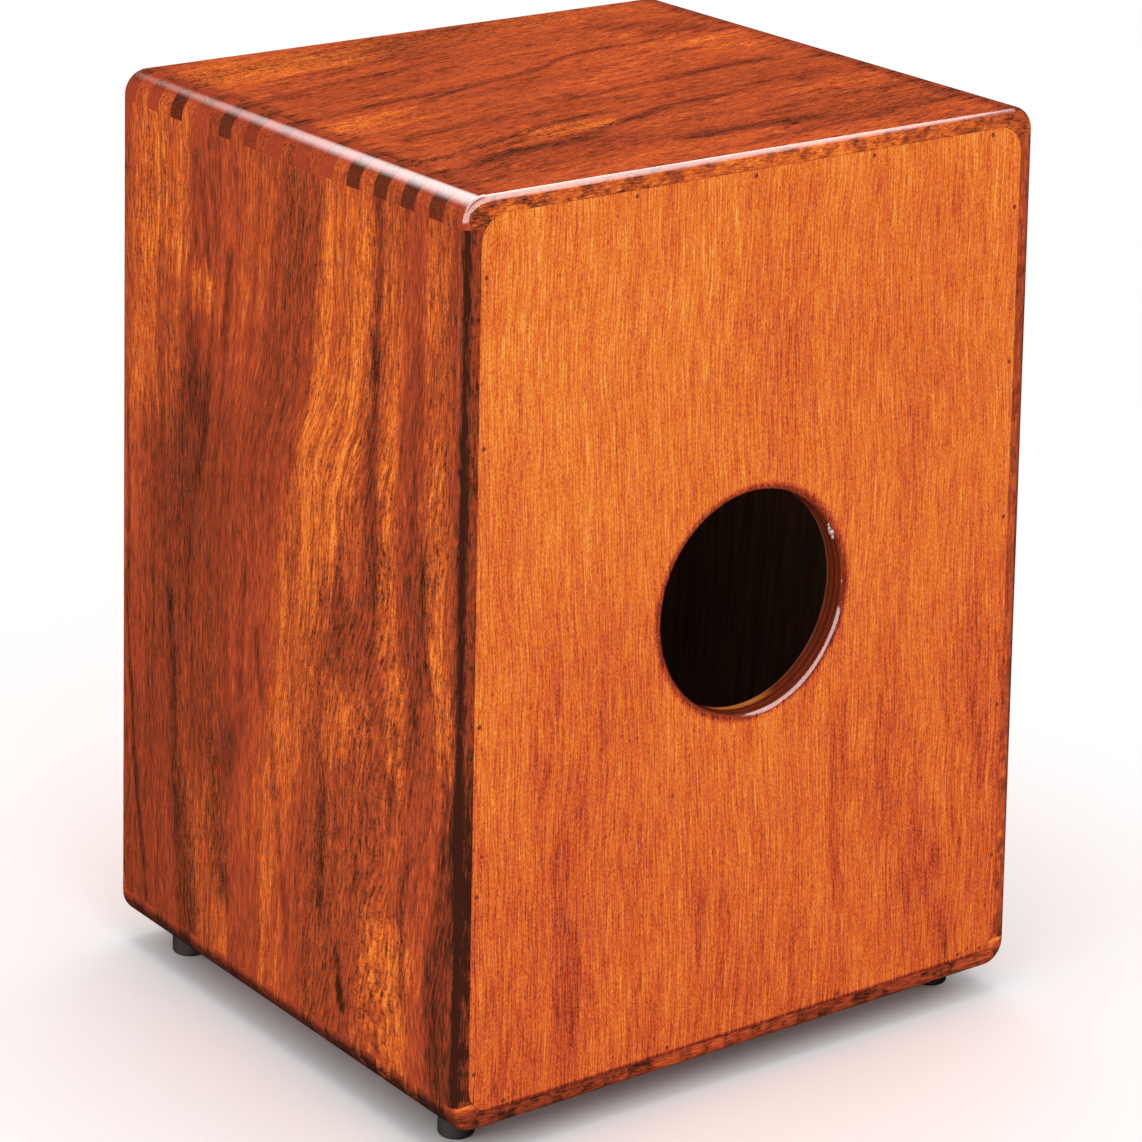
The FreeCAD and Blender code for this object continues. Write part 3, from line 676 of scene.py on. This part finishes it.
# ---- small parts ------------------------------------------------------------------------------
def moulded(name, scale, dark, light, roughness, relief, strength):
    """Rubber or plastic with a fine grit. scale is the grit's, per metre, and relief its height."""
    paint = Paint(name)
    grit = paint.noise(paint.scaled(scale))
    paint.surface(base_color=paint.mix(grit, dark, light), roughness=roughness,
                  normal=paint.bump(grit, relief, strength))
    return paint.material


def metal(name, dark, light, roughness):
    paint = Paint(name)
    wear = paint.noise(paint.scaled(420.0), detail=3.0)
    paint.surface(base_color=paint.mix(wear, dark, light), metallic=1.0,
                  roughness=paint.add(roughness, paint.times(wear, 0.2)))
    return paint.material


def bare_wood():
    """Unfinished beech with its grain along X."""
    paint = Paint("bare_wood")
    x, y, z, _ = paint.places()
    where = paint.vector(paint.times(x, 12.0), paint.times(y, 240.0), paint.times(z, 240.0))
    grain = paint.noise(where, detail=3.0)
    paint.surface(base_color=paint.mix(grain, rgb(150, 104, 62), rgb(206, 164, 112)), roughness=0.6,
                  normal=paint.bump(grain, 0.2 * MM, 0.3))
    return paint.material


def stained_nail():
    """A nail head under the same stain and lacquer as the veneer round it."""
    paint = Paint("stained_nail")
    stain = paint.noise(paint.scaled(1200.0))
    paint.surface(base_color=paint.mix(stain, rgb(96, 40, 22), rgb(158, 66, 34)), roughness=0.4,
                  specular_ior_level=0.2)
    return paint.material


def lacquer_drop():
    """Milky, half clear lacquer."""
    paint = Paint("lacquer_drop")
    milky = paint.noise(paint.scaled(900.0), detail=3.0)
    paint.surface(base_color=paint.mix(milky, rgb(120, 70, 52), rgb(214, 190, 182)), roughness=0.3,
                  coat_weight=1.0)
    return paint.material


steel = metal("zinc_steel", rgb(150, 150, 152), rgb(200, 200, 202), 0.3)
bright_steel = metal("bright_steel", rgb(190, 190, 192), rgb(225, 225, 226), 0.18)
black_steel = metal("black_steel", rgb(18, 18, 19), rgb(46, 45, 44), 0.35)
beech = bare_wood()
foot_rubber = moulded("foot_rubber", 900.0, rgb(22, 13, 10), rgb(38, 26, 20), 0.62, 0.2 * MM, 0.4)
knob_plastic = moulded("knob_plastic", 1500.0, rgb(16, 16, 17), rgb(30, 30, 31), 0.45, 0.1 * MM, 0.5)
looks = {
    **boards, **panels,
    "front_plate_screws": black_steel,
    "back_panel_brads": stained_nail(),
    "foot_screws": steel, "foot_washers": steel,
    "left_pivot_block": beech, "right_pivot_block": beech, "snare_rail": beech,
    "pivot_block_screws": steel, "rail_pivot_pins": steel, "snare_plate_screws": steel,
    "left_snare_plate": bright_steel, "right_snare_plate": bright_steel,
    "left_snare_wires": bright_steel, "right_snare_wires": bright_steel,
    "clamp_screw": steel, "clamp_knob": knob_plastic,
}
for name in frame["nodes"]:
    if name.startswith("foot_") and name not in looks:
        looks[name] = foot_rubber
for name, material in looks.items():
    mesh = frame["nodes"][name].data
    mesh.materials.clear()
    mesh.materials.append(material)


# ---- a drop of lacquer on the rim of the sound hole ----------------------------------------------
# Each bead's turn round the hole in degrees, its distance off the rim and its size, both in mm.
BEADS = ((27.5, -0.6, 1.5), (30.5, -1.0, 1.1), (25.0, -1.1, 1.0), (32.5, -0.3, 0.8), (28.5, -1.5, 0.8))
BEAD_SHAPE = Vector((0.8, 0.9, 1.2))


def link(made):
    bpy.context.scene.collection.objects.link(made)
    return made


def rim_drop():
    """Beads that the lacquer left on the rim, run together, high on the right as seen from behind."""
    mesh = bpy.data.meshes.new("rim_drop")
    build = bmesh.new()
    for turn, off, size in BEADS:
        angle = math.radians(turn)
        reach = HOLE_RADIUS + off * MM
        x = -reach * math.cos(angle)
        z = HOLE_Z + reach * math.sin(angle)
        shape = Matrix.Diagonal((*(BEAD_SHAPE * size * MM), 1.0))
        shape = Matrix.Translation((x, BACK - 1.0 * MM, z)) @ shape
        bmesh.ops.create_icosphere(build, subdivisions=3, radius=1.0, matrix=shape)
    for face in build.faces:
        face.smooth = True
    build.to_mesh(mesh)
    build.free()
    mesh.materials.append(lacquer_drop())
    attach(link(bpy.data.objects.new("rim_drop", mesh)), "box")


rim_drop()


# ---- studio -------------------------------------------------------------------------------------
FLOOR_HALF = 8.0
FLOOR_FADE = (0.35, 1.5)            # from the drum's middle; the floor is white beyond the second one
MIRRORED_FLOOR = rgb(34, 31, 30)    # what the lacquer mirrors of it
CEILING = [(-2.0, -2.6, 1.9), (2.2, -2.6, 1.9), (2.2, 2.6, 1.9), (-2.0, 2.6, 1.9)]
WALL = [(2.2, -1.0, 0.1), (2.2, 2.6, 0.1), (2.2, 2.6, 1.9), (2.2, -1.0, 1.9)]


def sheet(name, corners, material):
    """A rectangle that belongs to the studio, not to the drum."""
    mesh = bpy.data.meshes.new(name)
    mesh.from_pydata(corners, [], [(0, 1, 2, 3)])
    mesh.materials.append(material)
    made = link(bpy.data.objects.new(name, mesh))
    return made


def floor():
    """A pale floor that the lacquer mirrors only faintly. Away from the drum it fades into the white
    backdrop, and from below it can be looked through."""
    paint = Paint("floor")
    x, y, _, place = paint.places()
    pale = paint.mix(paint.noise(place), rgb(247, 247, 247), rgb(250, 250, 250))
    ray = paint.node("LightPath", {}).outputs
    colour = paint.mix(ray["Is Glossy Ray"], pale, MIRRORED_FLOOR)
    matt = paint.node("BsdfDiffuse", {"Color": colour}).outputs[0]
    white = paint.node("Emission", {"Strength": 1.0}).outputs[0]
    faded = paint.times(paint.smooth(paint.length(x, y), *FLOOR_FADE), ray["Is Camera Ray"])
    seen = paint.node("MixShader", {0: faded, 1: matt, 2: white}).outputs[0]
    clear = paint.node("BsdfTransparent", {}).outputs[0]
    from_below = paint.node("NewGeometry", {}).outputs["Backfacing"]
    paint.finish(paint.node("MixShader", {0: from_below, 1: seen, 2: clear}).outputs[0])
    far = FLOOR_HALF
    sheet("floor", [(-far, -far, 0), (far, -far, 0), (far, far, 0), (-far, far, 0)], paint.material)


def softbox(place, width, radiance):
    """A square light that brightens the colours without showing in the lacquer."""
    light = bpy.data.lights.new("softbox", "AREA")
    light.size = width
    light.energy = radiance * math.pi * width * width
    made = link(bpy.data.objects.new("softbox", light))
    made.location = place
    made.rotation_mode = "QUATERNION"
    made.rotation_quaternion = (MIDDLE - made.location).to_track_quat("-Z", "Y")
    made.visible_glossy = False


def reflector(name, corners, glow):
    """A glowing sheet that shows only as a highlight in the lacquer; glow(paint, x, y, z) is its
    radiance."""
    paint = Paint(name)
    x, y, z, _ = paint.places()
    paint.finish(paint.node("Emission", {"Strength": glow(paint, x, y, z)}).outputs[0])
    made = sheet(name, corners, paint.material)
    made.visible_camera = False
    made.visible_diffuse = False
    made.visible_transmission = False
    made.visible_shadow = False


def ceiling_glow(paint, x, y, z):
    """Two sheets with a dark gap between them. The front one's far end fades forward and to the left,
    the rear one fades to the right."""
    left_fade = paint.between(paint.smooth(y, -1.5, -1.1), paint.smooth(x, 0.2, 1.5, 1.0, 0.12), 1.0)
    from_gap = paint.minus(y, paint.smooth(x, -0.7, -0.4, 0.75, 0.0))
    front = paint.times(paint.smooth(x, -1.48, -1.36), left_fade, paint.smooth(y, -2.5, -1.6),
                        paint.smooth(from_gap, -0.20, -0.12, 9.0, 0.0))
    rear = paint.times(paint.smooth(x, -1.9, -0.9), paint.smooth(y, 0.26, 0.36, 0.0, 9.5))
    return paint.largest(front, rear)


def wall_glow(paint, x, y, z):
    """Even, but for its soft lower edge."""
    return paint.smooth(z, 0.26, 0.42, 0.0, 9.0)


def studio_world():
    """White to the camera, softer as a light, and dim in the lacquer's reflections."""
    world = bpy.data.worlds.new("studio")
    world.use_nodes = True
    tree = world.node_tree
    tree.nodes.clear()
    path = tree.nodes.new("ShaderNodeLightPath")
    output = tree.nodes.new("ShaderNodeOutputWorld")

    def backdrop(brightness):
        made = tree.nodes.new("ShaderNodeBackground")
        made.inputs[0].default_value = (1.0, 1.0, 1.0, 1.0)
        made.inputs[1].default_value = brightness
        return made.outputs[0]

    def choose(ray, otherwise, chosen):
        made = tree.nodes.new("ShaderNodeMixShader")
        tree.links.new(path.outputs[ray], made.inputs[0])
        tree.links.new(otherwise, made.inputs[1])
        tree.links.new(chosen, made.inputs[2])
        return made.outputs[0]

    lit = choose("Is Glossy Ray", backdrop(0.85), backdrop(0.012))
    tree.links.new(choose("Is Camera Ray", lit, backdrop(1.0)), output.inputs[0])
    bpy.context.scene.world = world


# The viewer's place: behind the drum, to the player's left, with the lens shifted down.
CAMERA_PLACE = Vector((1.2845, 1.7290, 0.9881))
HEADING, PITCH, ROLL = math.radians(-143.52), math.radians(-8.96), math.radians(1.07)
SENSOR_MM = 36.0
LENS_MM = 134.68
SHIFT_CURVE = ((0.0, -0.706), (0.02, -0.706), (0.04, 0.0))    # metres from that place, lens shift


def camera():
    forward = Vector((math.sin(HEADING) * math.cos(PITCH), math.cos(HEADING) * math.cos(PITCH),
                      math.sin(PITCH)))
    data = bpy.data.cameras.new("camera")
    data.sensor_width = SENSOR_MM
    data.lens = LENS_MM
    made = link(bpy.data.objects.new("camera", data))
    made.location = CAMERA_PLACE
    made.rotation_mode = "QUATERNION"
    roll = Matrix.Rotation(ROLL, 4, "Z").to_quaternion()
    made.rotation_quaternion = forward.to_track_quat("-Z", "Y") @ roll
    bpy.context.scene.camera = made

    # The lens shift holds only at the viewer's place, so that any other view is centred.
    stand = link(bpy.data.objects.new("viewer_place", None))
    stand.location = CAMERA_PLACE
    shift = data.driver_add("shift_y")
    shift.driver.type = "SUM"
    away = shift.driver.variables.new()
    away.type = "LOC_DIFF"
    away.targets[0].id = made
    away.targets[1].id = stand
    for modifier in list(shift.modifiers):
        shift.modifiers.remove(modifier)
    shift.extrapolation = "CONSTANT"
    for distance, value in SHIFT_CURVE:
        shift.keyframe_points.insert(distance, value).interpolation = "LINEAR"


floor()
studio_world()
softbox((0.3, 1.6, 1.9), width=1.2, radiance=1.7)
softbox((0.0, 0.0, 2.2), width=1.5, radiance=1.8)
softbox((2.2, 0.0, 0.8), width=1.0, radiance=1.4)
reflector("ceiling", CEILING, ceiling_glow)
reflector("wall", WALL, wall_glow)
camera()
bpy.context.scene.view_settings.view_transform = "Standard"
